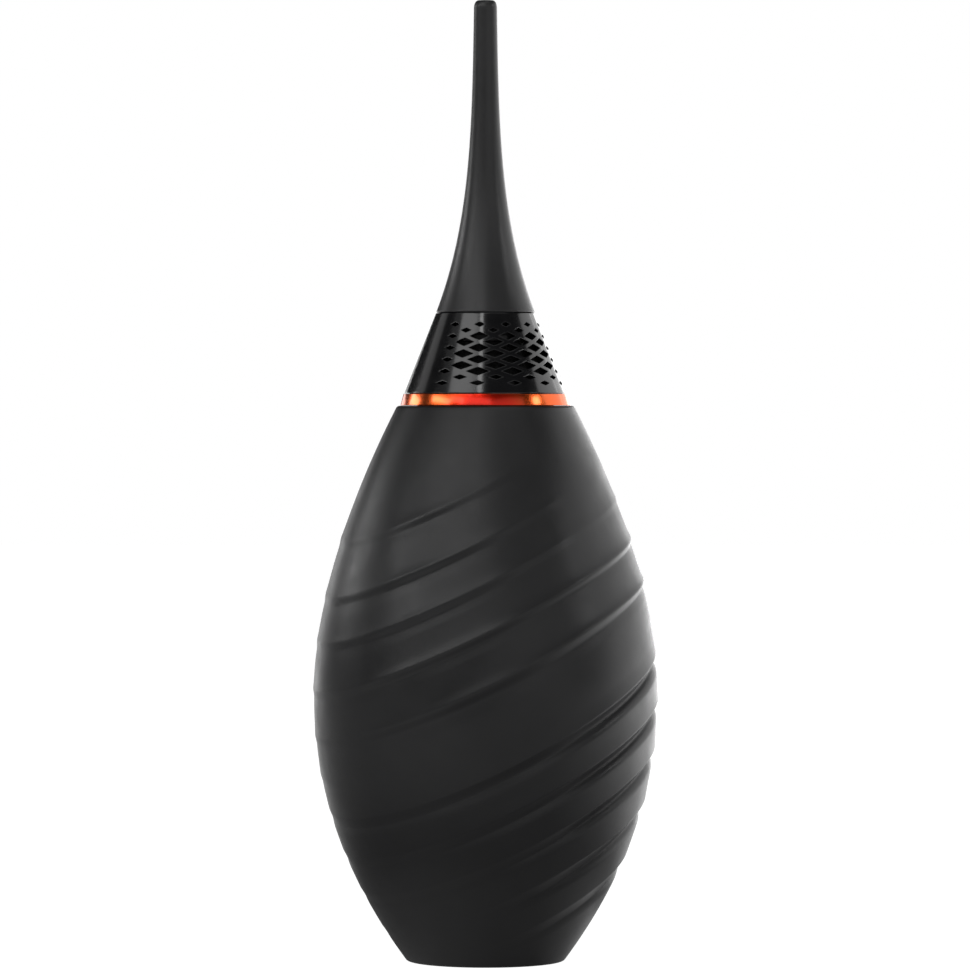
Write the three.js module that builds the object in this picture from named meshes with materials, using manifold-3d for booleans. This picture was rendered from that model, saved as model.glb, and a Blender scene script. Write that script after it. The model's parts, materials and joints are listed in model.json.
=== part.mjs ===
// Dust blower bulb: a silicone squeeze bulb with a screw-in head that holds a filtered air intake, two
// check valves and a tapered nozzle. Millimetres, +Z up, origin at the centre of the foot it stands on.
// Angles around the axis are measured from -Y (the front) towards +X (the right-hand side).
import * as THREE from "three";
import { mergeVertices } from "three/addons/utils/BufferGeometryUtils.js";
import Module from "manifold-3d";

const wasm = await Module();
wasm.setup();

// ---------------------------------------------------------------- driving dimensions

const FULL_HEIGHT = 173.3;

// Bulb: its outer radius grows from the foot to the belly and shrinks again to the neck.
const BULB_HEIGHT = 100.2;
const BELLY_RADIUS = 31.0;
const BELLY_HEIGHT = 49.1;
const FOOT_RADIUS = 14.2;
const NECK_RADIUS = 15.95;
const LOWER_CURVE_POWER = 2.17;
const UPPER_CURVE_POWER = 1.74;
const FOOT_ROUND = 0.7;
const LIP_ROUND = 0.9;
const BULB_WALL = 2.4;
const BULB_FLOOR = 3.0;
const MOUTH_RADIUS = 12.6;
const LIP_UNDERSIDE = 94.0;
const LIP_CORNER = 0.5;
const FLOOR_CORNER = 1.5;

// Thumb wall: the oval patch of the bulb's front wall that a squeeze moves.
const THUMB_HALF_WIDTH = 13;
const THUMB_HALF_HEIGHT = 20;
const THUMB_MIDDLE = 50;

// Clearances: side by side round pieces, and flat faces that rest on each other.
const SIDE_GAP = 0.3;
const FACE_GAP = 0.1;

// Trim ring.
const RING_BOTTOM = 100.25;
const RING_TOP = 102.35;
const RING_BOTTOM_RADIUS = 15.35;
const RING_TOP_RADIUS = 14.8;
const RING_BORE = 13.4;

// Intake collar: a straight cone with a flat top plate.
const COLLAR_BOTTOM = 102.45;
const COLLAR_TOP = 116.9;
const COLLAR_BOTTOM_RADIUS = 14.62;
const COLLAR_TOP_RADIUS = 8.93;
const COLLAR_WALL = 1.4;
const COLLAR_HOLE = 5.5;

// Diamond holes of the collar: two opposite windows of a staggered lattice.
const WINDOW_ANGLES = [22, 202];
const LATTICE_COLUMN_DEG = 14;
const LATTICE_ROW = 1.05;
const LATTICE_COLUMNS = 4;
const LATTICE_ROWS = 5;
const LATTICE_MIDDLE = 109.55;
const DIAMOND_HALF_ANGLE_DEG = 9;
const DIAMOND_HALF_HEIGHT = 0.7;
const BORDER_DIAMOND_SCALE = 0.5;
const PIN_PAST_INSIDE = 1;
const PIN_PAST_OUTSIDE = COLLAR_WALL + 0.5;

// Nozzle: a draft from the tip, and a flare that takes over towards the base.
const NOZZLE_BOTTOM = 117.0;
const NOZZLE_TIP_RADIUS = 2.07;
const NOZZLE_DRAFT = 0.91;
const NOZZLE_FLARE = 5.96;
const NOZZLE_FLARE_POWER = 3.47;
const NOZZLE_TIP_ROUND = 1.2;
const NOZZLE_TIP_SHOULDER = [0.15, 0.4];
const NOZZLE_TIP_FLAT = 0.45;
const NOZZLE_BORE_TIP = 1.2;
const NOZZLE_BORE_BASE = 2.0;
const NOZZLE_SOCKET_GAP = 0.6;
const NOZZLE_SOCKET_END_GAP = 0.4;
const NOZZLE_SEAL_RECESS_RADIUS = 6.7;
const NOZZLE_SEAL_RECESS_TOP = 118.4;

// Screw thread between head and neck socket: one round ridge on each, half a lead apart.
const THREAD_LEAD = 3;
const THREAD_TURNS = 2;
const RIDGE_SECTION = 0.55;
const SKIRT_RIDGE_BOTTOM = 94.0;
const SKIRT_RIDGE_RADIUS = 10.1;
const SOCKET_RIDGE_RADIUS = 10.9;

// Neck socket.
const SOCKET_BORE = 10.95;
const SOCKET_RADIUS = 12.3;
const SOCKET_BOTTOM = 90.5;
const SOCKET_TOP = 101.1;
const SOCKET_FLANGE_RADIUS = 13.1;
const LOCK_RING_RADIUS = 15.4;
const LOCK_RING_BOTTOM = 91.0;
const LOCK_RING_TOP = 93.4;
const LIP_WASHER_RADIUS = 15.8;

// O-rings.
const SEAL_SECTION = 0.5;
const HEAD_SEAL_RADIUS = 11.6;
const NOZZLE_SEAL_RADIUS = 5.95;
const NOZZLE_SEAL_HEIGHT = 117.7;

// Valve body.
const SKIRT_BORE = 9.2;
const SKIRT_RADIUS = 10.05;
const SKIRT_BOTTOM = 92.5;
const FLANGE_BOTTOM = 102.4;
const FLANGE_TOP = 103.6;
const FLANGE_RADIUS = 12.3;
const TUBE_BORE = 2.6;
const TUBE_RADIUS = 3.8;
const TUBE_BOTTOM = 94;
const TUBE_TOP = 113.3;
const PORT_COUNT = 8;
const PORT_RADIUS = 1.3;
const PORT_CIRCLE = 6.0;
const PORT_FACETS = 8;

// Inlet valve: a flap below the ports, and the ring that keeps it there.
const FLAP_BORE = 4.6;
const FLAP_RADIUS = 8.8;
const FLAP_BOTTOM = 101.5;
const INLET_KEEPER = { ringRadius: 5.2, armFrom: 4.6, armTo: 8.5, armWidth: 1.4, arms: 4 };
const INLET_KEEPER_BOTTOM = 99.2;
const INLET_KEEPER_TOP = 100.2;

// Filter cartridge.
const CAGE_TOP = 111.8;
const SLEEVE_BOTTOM = 104.9;
const SLEEVE_TOP = 111.7;
const SLEEVE_THICKNESS = 3.0;
const CAGE_WALL = 0.6;
const CAGE_SLOTS = 8;
const CAGE_SLOT_WIDTH = 2.4;
const CAGE_SLOT_FROM = 4.2;
const CAGE_SLOT_TO = 12;
const CAGE_LOWER_RIM = 1.3;
const CAGE_UPPER_RIM = 1.2;
const FILTER_TOP = 112.8;

// Outlet valve and spigot.
const SEAT_TOP = 114.0;
const SEAT_RADIUS = 5.8;
const DISC_RADIUS = 3.2;
const DISC_REST_GAP = 0.05;
const DISC_EDGE = 0.5;
const DISC_MIDDLE = 0.8;
const OUTLET_KEEPER = { ringBore: 2.7, armFrom: -2.9, armTo: 2.9, armWidth: 0.7, arms: 2 };
const OUTLET_KEEPER_BOTTOM = 116.3;
const OUTLET_KEEPER_TOP = 117.1;
const SPIGOT_RADIUS = 5.2;
const SPIGOT_TOP = 121.5;
const SPIGOT_BORE = 2.2;
const SPIGOT_FLANGE_RADIUS = 6.0;
const SPIGOT_CHAMFER = 0.4;
const SNAP_BEAD_HEIGHT = 120.6;
const SNAP_BEAD_HALF_WIDTH = 0.4;
const SNAP_BEAD_RISE = 0.25;
const CHAMBER_RADIUS = 3.7;
const CHAMBER_TOP = 117.4;

// Facets around the axis.
const OUTER_FACETS = 40;
const COLLAR_FACETS = 24;
const INNER_FACETS = 28;
const SMALL_FACETS = 20;

// ---------------------------------------------------------------- shape helpers

const DEG = Math.PI / 180;

// A solid of revolution about +Z. Points are [radius, height], outside going up and inside coming down.
function lathe(points, facets = INNER_FACETS) {
  const profile = points.map(([r, z]) => new THREE.Vector2(r, z));
  const endsOnAxis = points[0][0] === 0 && points.at(-1)[0] === 0;
  if (!endsOnAxis) profile.push(profile[0].clone());
  return new THREE.LatheGeometry(profile, facets).rotateX(Math.PI / 2);
}

function washer(inner, outer, low, high) {
  return lathe([[inner, low], [outer, low], [outer, high], [inner, high]]);
}

function toSolid(geometry) {
  const bare = geometry.clone();
  bare.deleteAttribute("normal");
  bare.deleteAttribute("uv");
  const merged = mergeVertices(bare, 1e-3);
  return new wasm.Manifold(new wasm.Mesh({
    numProp: 3,
    vertProperties: merged.attributes.position.array,
    triVerts: new Uint32Array(merged.index.array),
  }));
}

function toGeometry(solid) {
  const mesh = solid.getMesh();
  return new THREE.BufferGeometry()
    .setAttribute("position", new THREE.BufferAttribute(mesh.vertProperties, 3))
    .setIndex(new THREE.BufferAttribute(mesh.triVerts, 1));
}

function join(...geometries) {
  return toGeometry(geometries.map(toSolid).reduce((whole, piece) => whole.add(piece)));
}

function cut(geometry, ...cutters) {
  return toGeometry(cutters.map(toSolid).reduce((rest, tool) => rest.subtract(tool), toSolid(geometry)));
}

// Evenly spaced heights from low to high, both included.
function levels(low, high, count) {
  return Array.from({ length: count }, (_, i) => low + ((high - low) * i) / (count - 1));
}

function evenAngles(count) {
  return Array.from({ length: count }, (_, i) => (i * 360) / count);
}

// A rod along +Z that cuts one port through the valve body's flange.
function portRod(angleDeg) {
  const low = FLANGE_BOTTOM - 1;
  const high = FLANGE_TOP + 1;
  const x = PORT_CIRCLE * Math.sin(angleDeg * DEG);
  const y = -PORT_CIRCLE * Math.cos(angleDeg * DEG);
  return new THREE.CylinderGeometry(PORT_RADIUS, PORT_RADIUS, high - low, PORT_FACETS)
    .rotateX(Math.PI / 2)
    .translate(x, y, (low + high) / 2);
}

// A box that runs outwards from the axis at an angle.
function radialBar(angleDeg, from, to, width, low, high) {
  return new THREE.BoxGeometry(width, to - from, high - low)
    .translate(0, -(from + to) / 2, (low + high) / 2)
    .rotateZ(angleDeg * DEG);
}

function oRing(radius, height) {
  return new THREE.TorusGeometry(radius, SEAL_SECTION, 6, SMALL_FACETS).translate(0, 0, height);
}

// A ring with arms, pushed on or into a tube: its open gaps let air through.
function spokedRing(inner, outer, low, high, { armFrom, armTo, armWidth, arms }) {
  const ring = lathe([[inner, low], [outer, low], [outer, high], [inner, high]], SMALL_FACETS);
  const bars = evenAngles(arms).map((angle) => radialBar(angle, armFrom, armTo, armWidth, low, high));
  return join(ring, ...bars);
}

class RightHandHelix extends THREE.Curve {
  constructor(radius, bottom) {
    super();
    this.radius = radius;
    this.bottom = bottom;
  }

  getPoint(t, target = new THREE.Vector3()) {
    const turn = t * THREAD_TURNS;
    const angle = turn * 2 * Math.PI;
    return target.set(
      this.radius * Math.cos(angle),
      this.radius * Math.sin(angle),
      this.bottom + turn * THREAD_LEAD,
    );
  }
}

function threadRidge(radius, bottom) {
  const section = new THREE.Shape().absarc(0, 0, RIDGE_SECTION, 0, 2 * Math.PI);
  return new THREE.ExtrudeGeometry(section, {
    steps: THREAD_TURNS * SMALL_FACETS,
    curveSegments: 3,
    extrudePath: new RightHandHelix(radius, bottom),
  });
}

// ---------------------------------------------------------------- outlines

function bulbRadius(z) {
  if (z < BELLY_HEIGHT) {
    const below = (BELLY_HEIGHT - z) / BELLY_HEIGHT;
    return BELLY_RADIUS - (BELLY_RADIUS - FOOT_RADIUS) * below ** LOWER_CURVE_POWER;
  }
  const above = (z - BELLY_HEIGHT) / (BULB_HEIGHT - BELLY_HEIGHT);
  return BELLY_RADIUS - (BELLY_RADIUS - NECK_RADIUS) * above ** UPPER_CURVE_POWER;
}

function collarRadius(z) {
  const above = (z - COLLAR_BOTTOM) / (COLLAR_TOP - COLLAR_BOTTOM);
  return COLLAR_BOTTOM_RADIUS - (COLLAR_BOTTOM_RADIUS - COLLAR_TOP_RADIUS) * above;
}

function nozzleRadius(z) {
  const below = (FULL_HEIGHT - z) / (FULL_HEIGHT - NOZZLE_BOTTOM);
  return NOZZLE_TIP_RADIUS + NOZZLE_DRAFT * below + NOZZLE_FLARE * below ** NOZZLE_FLARE_POWER;
}

const sleeveOutside = (z) => collarRadius(z) - COLLAR_WALL - SIDE_GAP;
const sleeveInside = (z) => sleeveOutside(z) - SLEEVE_THICKNESS;
const cageOutside = (z) => sleeveInside(z) - SIDE_GAP;

// ---------------------------------------------------------------- bulb and neck

function wholeBulb() {
  const outside = levels(FOOT_ROUND, BULB_HEIGHT - LIP_ROUND, 12).map((z) => [bulbRadius(z), z]);
  const inside = levels(LIP_UNDERSIDE - 2, BULB_FLOOR + 3, 7).map((z) => [bulbRadius(z) - BULB_WALL, z]);
  return lathe([
    [0, 0],
    [FOOT_RADIUS - FOOT_ROUND / 2, 0],
    ...outside,
    [NECK_RADIUS - LIP_ROUND / 2, BULB_HEIGHT],
    [MOUTH_RADIUS, BULB_HEIGHT],
    [MOUTH_RADIUS, LIP_UNDERSIDE],
    [bulbRadius(LIP_UNDERSIDE) - BULB_WALL - LIP_CORNER, LIP_UNDERSIDE],
    ...inside,
    [bulbRadius(BULB_FLOOR) - BULB_WALL - FLOOR_CORNER, BULB_FLOOR],
    [0, BULB_FLOOR],
  ], OUTER_FACETS);
}

// An oval rod along Y that passes through the bulb's front wall only.
function thumbOval(grow) {
  const oval = new THREE.Shape()
    .absellipse(0, 0, THUMB_HALF_WIDTH + grow, THUMB_HALF_HEIGHT + grow, 0, 2 * Math.PI);
  return new THREE.ExtrudeGeometry(oval, { depth: BELLY_RADIUS, curveSegments: 14, bevelEnabled: false })
    .rotateX(Math.PI / 2)
    .translate(0, -BELLY_RADIUS / 2, THUMB_MIDDLE);
}

const bulb = () => cut(wholeBulb(), thumbOval(SIDE_GAP));

const bulbThumbWall = () => toGeometry(toSolid(wholeBulb()).intersect(toSolid(thumbOval(0))));

function neckSocket() {
  const flangeBottom = BULB_HEIGHT + FACE_GAP;
  const tube = lathe([
    [SOCKET_BORE, SOCKET_BOTTOM],
    [SOCKET_RADIUS, SOCKET_BOTTOM],
    [SOCKET_RADIUS, flangeBottom],
    [SOCKET_FLANGE_RADIUS, flangeBottom],
    [SOCKET_FLANGE_RADIUS, SOCKET_TOP],
    [SOCKET_BORE, SOCKET_TOP],
  ]);
  return join(tube, threadRidge(SOCKET_RIDGE_RADIUS, SKIRT_RIDGE_BOTTOM - THREAD_LEAD / 2));
}

function socketLockRing() {
  return washer(SOCKET_RADIUS + SIDE_GAP, LOCK_RING_RADIUS, LOCK_RING_BOTTOM, LOCK_RING_TOP);
}

function lipWasher() {
  const bottom = LOCK_RING_TOP + FACE_GAP;
  return washer(SOCKET_RADIUS + SIDE_GAP, LIP_WASHER_RADIUS, bottom, LIP_UNDERSIDE - FACE_GAP);
}

function trimRing() {
  return lathe([
    [RING_BORE, RING_BOTTOM],
    [RING_BOTTOM_RADIUS, RING_BOTTOM],
    [RING_TOP_RADIUS, RING_TOP],
    [RING_BORE, RING_TOP],
  ], OUTER_FACETS);
}

// ---------------------------------------------------------------- head

const headSeal = () => oRing(HEAD_SEAL_RADIUS, (SOCKET_TOP + FLANGE_BOTTOM) / 2);

function valveBody() {
  const turned = lathe([
    [TUBE_BORE, TUBE_BOTTOM],
    [TUBE_RADIUS, TUBE_BOTTOM],
    [TUBE_RADIUS, FLANGE_BOTTOM],
    [SKIRT_BORE, FLANGE_BOTTOM],
    [SKIRT_BORE, SKIRT_BOTTOM],
    [SKIRT_RADIUS, SKIRT_BOTTOM],
    [SKIRT_RADIUS, FLANGE_BOTTOM],
    [FLANGE_RADIUS, FLANGE_BOTTOM],
    [FLANGE_RADIUS, FLANGE_TOP],
    [TUBE_RADIUS, FLANGE_TOP],
    [TUBE_RADIUS, TUBE_TOP],
    [TUBE_BORE, TUBE_TOP],
  ]);
  const threaded = join(turned, threadRidge(SKIRT_RIDGE_RADIUS, SKIRT_RIDGE_BOTTOM));
  return cut(threaded, ...evenAngles(PORT_COUNT).map(portRod));
}

const inletFlap = () => washer(FLAP_BORE, FLAP_RADIUS, FLAP_BOTTOM, FLANGE_BOTTOM - FACE_GAP);

function inletKeeper() {
  const inner = TUBE_RADIUS + SIDE_GAP;
  return spokedRing(inner, INLET_KEEPER.ringRadius, INLET_KEEPER_BOTTOM, INLET_KEEPER_TOP, INLET_KEEPER);
}

function diamondPin(angleDeg, z, scale) {
  const radius = collarRadius(z);
  const halfWidth = radius * Math.sin(DIAMOND_HALF_ANGLE_DEG * DEG) * scale;
  const halfHeight = DIAMOND_HALF_HEIGHT * scale;
  const diamond = new THREE.Shape([
    new THREE.Vector2(halfWidth, 0),
    new THREE.Vector2(0, halfHeight),
    new THREE.Vector2(-halfWidth, 0),
    new THREE.Vector2(0, -halfHeight),
  ]);
  const inward = COLLAR_WALL + PIN_PAST_INSIDE;
  return new THREE.ExtrudeGeometry(diamond, { depth: inward + PIN_PAST_OUTSIDE, bevelEnabled: false })
    .rotateX(Math.PI / 2)
    .translate(0, inward - radius, z)
    .rotateZ(angleDeg * DEG);
}

// Rows and columns are counted from the middle of a window, whose border holes are smaller.
function diamondPins() {
  const pins = [];
  for (const middle of WINDOW_ANGLES) {
    for (let column = -LATTICE_COLUMNS; column <= LATTICE_COLUMNS; column++) {
      for (let row = -LATTICE_ROWS; row <= LATTICE_ROWS; row++) {
        if ((row + column) % 2 === 0) continue;
        const onBorder = Math.abs(column) === LATTICE_COLUMNS || Math.abs(row) >= LATTICE_ROWS - 1;
        const angle = middle + column * LATTICE_COLUMN_DEG;
        const z = LATTICE_MIDDLE + row * LATTICE_ROW;
        pins.push(diamondPin(angle, z, onBorder ? BORDER_DIAMOND_SCALE : 1));
      }
    }
  }
  return pins;
}

function intakeCollar() {
  const plateBottom = COLLAR_TOP - COLLAR_WALL;
  const shell = lathe([
    [collarRadius(COLLAR_BOTTOM) - COLLAR_WALL, COLLAR_BOTTOM],
    [collarRadius(COLLAR_BOTTOM), COLLAR_BOTTOM],
    [collarRadius(COLLAR_TOP), COLLAR_TOP],
    [COLLAR_HOLE, COLLAR_TOP],
    [COLLAR_HOLE, plateBottom],
    [collarRadius(plateBottom) - COLLAR_WALL, plateBottom],
  ], COLLAR_FACETS);
  return cut(shell, ...diamondPins());
}

function filterCage() {
  const bottom = FLANGE_TOP + FACE_GAP;
  const cone = lathe([
    [cageOutside(bottom) - CAGE_WALL, bottom],
    [cageOutside(bottom), bottom],
    [cageOutside(CAGE_TOP), CAGE_TOP],
    [cageOutside(CAGE_TOP) - CAGE_WALL, CAGE_TOP],
  ]);
  const slotBottom = bottom + CAGE_LOWER_RIM;
  const slotTop = CAGE_TOP - CAGE_UPPER_RIM;
  const slots = evenAngles(CAGE_SLOTS)
    .map((angle) => radialBar(angle, CAGE_SLOT_FROM, CAGE_SLOT_TO, CAGE_SLOT_WIDTH, slotBottom, slotTop));
  return cut(cone, ...slots);
}

function filterSleeve() {
  return lathe([
    [sleeveInside(SLEEVE_BOTTOM), SLEEVE_BOTTOM],
    [sleeveOutside(SLEEVE_BOTTOM), SLEEVE_BOTTOM],
    [sleeveOutside(SLEEVE_TOP), SLEEVE_TOP],
    [sleeveInside(SLEEVE_TOP), SLEEVE_TOP],
  ]);
}

function filterRingLower() {
  const bottom = FLANGE_TOP + FACE_GAP;
  const top = SLEEVE_BOTTOM - FACE_GAP;
  return washer(cageOutside(bottom) + SIDE_GAP, sleeveOutside(top), bottom, top);
}

function filterRingUpper() {
  return washer(TUBE_RADIUS + SIDE_GAP, sleeveOutside(FILTER_TOP), CAGE_TOP + FACE_GAP, FILTER_TOP);
}

function outletSeat() {
  const bottom = FILTER_TOP + FACE_GAP;
  return lathe([
    [TUBE_RADIUS + SIDE_GAP, bottom],
    [SEAT_RADIUS, bottom],
    [SEAT_RADIUS, SEAT_TOP],
    [TUBE_BORE, SEAT_TOP],
    [TUBE_BORE, TUBE_TOP + FACE_GAP],
    [TUBE_RADIUS + SIDE_GAP, TUBE_TOP + FACE_GAP],
  ]);
}

function outletDisc() {
  const bottom = SEAT_TOP + DISC_REST_GAP;
  return lathe([
    [0, bottom],
    [DISC_RADIUS, bottom],
    [DISC_RADIUS, bottom + DISC_EDGE],
    [0, bottom + DISC_MIDDLE],
  ], SMALL_FACETS);
}

function outletKeeper() {
  const outer = CHAMBER_RADIUS - SIDE_GAP;
  return spokedRing(OUTLET_KEEPER.ringBore, outer, OUTLET_KEEPER_BOTTOM, OUTLET_KEEPER_TOP, OUTLET_KEEPER);
}

function nozzleSpigot() {
  const bottom = SEAT_TOP + FACE_GAP;
  const flangeTop = COLLAR_TOP - COLLAR_WALL - FACE_GAP;
  return lathe([
    [CHAMBER_RADIUS, bottom],
    [SPIGOT_FLANGE_RADIUS, bottom],
    [SPIGOT_FLANGE_RADIUS, flangeTop],
    [SPIGOT_RADIUS, flangeTop],
    [SPIGOT_RADIUS, SNAP_BEAD_HEIGHT - SNAP_BEAD_HALF_WIDTH],
    [SPIGOT_RADIUS + SNAP_BEAD_RISE, SNAP_BEAD_HEIGHT],
    [SPIGOT_RADIUS, SNAP_BEAD_HEIGHT + SNAP_BEAD_HALF_WIDTH],
    [SPIGOT_RADIUS - SPIGOT_CHAMFER, SPIGOT_TOP],
    [SPIGOT_BORE, SPIGOT_TOP],
    [SPIGOT_BORE, CHAMBER_TOP],
    [CHAMBER_RADIUS, CHAMBER_TOP],
  ]);
}

const nozzleSeal = () => oRing(NOZZLE_SEAL_RADIUS, NOZZLE_SEAL_HEIGHT);

// ---------------------------------------------------------------- nozzle

function nozzle() {
  const outside = levels(NOZZLE_BOTTOM, FULL_HEIGHT - NOZZLE_TIP_ROUND, 12).map((z) => [nozzleRadius(z), z]);
  const socketTop = SPIGOT_TOP + NOZZLE_SOCKET_END_GAP;
  const socketRadius = SPIGOT_RADIUS + NOZZLE_SOCKET_GAP;
  return lathe([
    [NOZZLE_SEAL_RECESS_RADIUS, NOZZLE_BOTTOM],
    ...outside,
    [NOZZLE_TIP_RADIUS - NOZZLE_TIP_SHOULDER[0], FULL_HEIGHT - NOZZLE_TIP_SHOULDER[1]],
    [NOZZLE_TIP_RADIUS - NOZZLE_TIP_FLAT, FULL_HEIGHT],
    [NOZZLE_BORE_TIP, FULL_HEIGHT],
    [NOZZLE_BORE_BASE, socketTop],
    [socketRadius, socketTop],
    [socketRadius, NOZZLE_SEAL_RECESS_TOP],
    [NOZZLE_SEAL_RECESS_RADIUS, NOZZLE_SEAL_RECESS_TOP],
  ]);
}

// ---------------------------------------------------------------- materials and assembly

const matte = (color, roughness) => new THREE.MeshStandardMaterial({ color, roughness, metalness: 0 });
const SILICONE = matte(0x2b2b2c, 0.55);
const NOZZLE_BLACK = matte(0x353536, 0.42);
const GLOSS_BLACK = matte(0x111112, 0.15);
const ORANGE_METAL = new THREE.MeshStandardMaterial({ color: 0xf0591e, roughness: 0.22, metalness: 1 });
const INNER_PLASTIC = matte(0x222224, 0.5);
const VALVE_SILICONE = matte(0xb9b4ab, 0.5);
const SEAL_RUBBER = matte(0x18181a, 0.6);
const FOAM = matte(0x141415, 0.95);

const ASSEMBLIES = {
  bulb_side: [
    ["bulb", bulb(), SILICONE],
    ["bulb_thumb_wall", bulbThumbWall(), SILICONE],
    ["neck_socket", neckSocket(), INNER_PLASTIC],
    ["socket_lock_ring", socketLockRing(), INNER_PLASTIC],
    ["lip_washer", lipWasher(), INNER_PLASTIC],
    ["trim_ring", trimRing(), ORANGE_METAL],
  ],
  head_side: [
    ["head_seal", headSeal(), SEAL_RUBBER],
    ["valve_body", valveBody(), INNER_PLASTIC],
    ["inlet_flap", inletFlap(), VALVE_SILICONE],
    ["inlet_keeper", inletKeeper(), INNER_PLASTIC],
    ["filter_cage", filterCage(), INNER_PLASTIC],
    ["filter_sleeve", filterSleeve(), FOAM],
    ["filter_ring_lower", filterRingLower(), SEAL_RUBBER],
    ["filter_ring_upper", filterRingUpper(), SEAL_RUBBER],
    ["intake_collar", intakeCollar(), GLOSS_BLACK],
    ["outlet_seat", outletSeat(), INNER_PLASTIC],
    ["outlet_disc", outletDisc(), VALVE_SILICONE],
    ["outlet_keeper", outletKeeper(), INNER_PLASTIC],
    ["nozzle_spigot", nozzleSpigot(), INNER_PLASTIC],
  ],
  nozzle_side: [
    ["nozzle_seal", nozzleSeal(), SEAL_RUBBER],
    ["nozzle", nozzle(), NOZZLE_BLACK],
  ],
};

const blower = new THREE.Group();
for (const [assemblyName, pieces] of Object.entries(ASSEMBLIES)) {
  const assembly = new THREE.Group();
  assembly.name = assemblyName;
  for (const [name, geometry, material] of pieces) {
    const mesh = new THREE.Mesh(geometry, material);
    mesh.name = name;
    assembly.add(mesh);
  }
  blower.add(assembly);
}

export default blower;
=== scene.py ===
"""Dust blower bulb: the looks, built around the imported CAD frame. Blender 4.5, metres, +Z up.

Outlines are in millimetres and become metres in new_piece. Angles around the axis are measured from -Y
(the front) towards +X, as in the CAD source.
"""
import json
import math

import bmesh
import bpy
import numpy as np
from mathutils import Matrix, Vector
from mathutils.geometry import delaunay_2d_cdt


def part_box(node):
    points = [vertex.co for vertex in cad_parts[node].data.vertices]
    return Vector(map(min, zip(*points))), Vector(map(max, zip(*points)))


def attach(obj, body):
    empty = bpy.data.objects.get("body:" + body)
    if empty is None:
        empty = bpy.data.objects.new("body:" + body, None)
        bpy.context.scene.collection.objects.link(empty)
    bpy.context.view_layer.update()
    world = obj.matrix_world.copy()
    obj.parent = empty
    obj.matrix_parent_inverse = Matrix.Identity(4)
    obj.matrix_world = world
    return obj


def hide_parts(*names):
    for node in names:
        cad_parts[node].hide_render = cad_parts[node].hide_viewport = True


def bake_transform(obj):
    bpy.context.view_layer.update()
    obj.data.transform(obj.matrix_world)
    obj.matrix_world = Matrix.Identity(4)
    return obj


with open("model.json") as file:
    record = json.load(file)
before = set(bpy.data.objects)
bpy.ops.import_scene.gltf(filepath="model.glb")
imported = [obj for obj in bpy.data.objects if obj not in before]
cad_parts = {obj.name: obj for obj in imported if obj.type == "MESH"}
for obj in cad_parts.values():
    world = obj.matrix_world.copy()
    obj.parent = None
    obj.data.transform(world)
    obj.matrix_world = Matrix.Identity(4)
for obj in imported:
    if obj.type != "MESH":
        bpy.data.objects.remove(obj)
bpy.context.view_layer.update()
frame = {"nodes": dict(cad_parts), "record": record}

MM = 0.001

# ---------------------------------------------------------------- sizes from the frame, in millimetres

BULB_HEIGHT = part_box("bulb")[1].z / MM
RING_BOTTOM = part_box("trim_ring")[0].z / MM
RING_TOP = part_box("trim_ring")[1].z / MM
COLLAR_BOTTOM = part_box("intake_collar")[0].z / MM
COLLAR_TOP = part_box("intake_collar")[1].z / MM
NOZZLE_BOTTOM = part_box("nozzle")[0].z / MM
FULL_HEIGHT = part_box("nozzle")[1].z / MM

# ---------------------------------------------------------------- outlines
# These are the CAD source's own numbers, but for the nozzle's tip, which is rounder here.

BELLY_RADIUS = 31.0
BELLY_HEIGHT = 49.1
FOOT_RADIUS = 14.2
NECK_RADIUS = 15.95
LOWER_CURVE_POWER = 2.17
UPPER_CURVE_POWER = 1.74
BULB_WALL = 2.4
BULB_FLOOR = 3.0
MOUTH_RADIUS = 12.6
LIP_UNDERSIDE = 94.0

RING_BOTTOM_RADIUS = 15.35
RING_TOP_RADIUS = 14.8
RING_BORE = 13.4

COLLAR_BOTTOM_RADIUS = 14.62
COLLAR_TOP_RADIUS = 8.93
COLLAR_WALL = 1.4
COLLAR_HOLE = 5.5

NOZZLE_TIP_RADIUS = 2.07
NOZZLE_DRAFT = 0.91
NOZZLE_FLARE = 5.96
NOZZLE_FLARE_POWER = 3.47
NOZZLE_TIP_ROUND = 1.4
NOZZLE_TIP_FLAT_RADIUS = 1.3
NOZZLE_TIP_BORE = 1.2
NOZZLE_TIP_BORE_LENGTH = 4
NOZZLE_BORE_BELOW_TIP = 1.25
NOZZLE_BASE_BORE = 2.0
NOZZLE_SOCKET_RADIUS = 5.8
NOZZLE_SOCKET_TOP = 121.9
NOZZLE_SEAL_RECESS_RADIUS = 6.7
NOZZLE_SEAL_RECESS_TOP = 118.4
NOZZLE_STRAIGHT_EDGE = 0.5
NOZZLE_ROWS = 130
NOZZLE_TIP_STEPS = 12

SIDE_GAP = 0.3
FACE_GAP = 0.1
SPIGOT_RADIUS = 5.2
SPIGOT_BORE = 2.2
SPIGOT_FLANGE_RADIUS = 6.0
SPIGOT_CHAMFER = 0.4
SNAP_BEAD_HEIGHT = 120.6
SNAP_BEAD_HALF_WIDTH = 0.4
SNAP_BEAD_RISE = 0.25
CHAMBER_RADIUS = 3.7
CHAMBER_TOP = 117.4
SLEEVE_THICKNESS = 3.0

# Edges sharper than this many degrees stay sharp: on the pieces made here, and on the CAD nodes.
SHARP_EDGE_DEG = 40
CAD_SHARP_EDGE_DEG = 30


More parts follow.
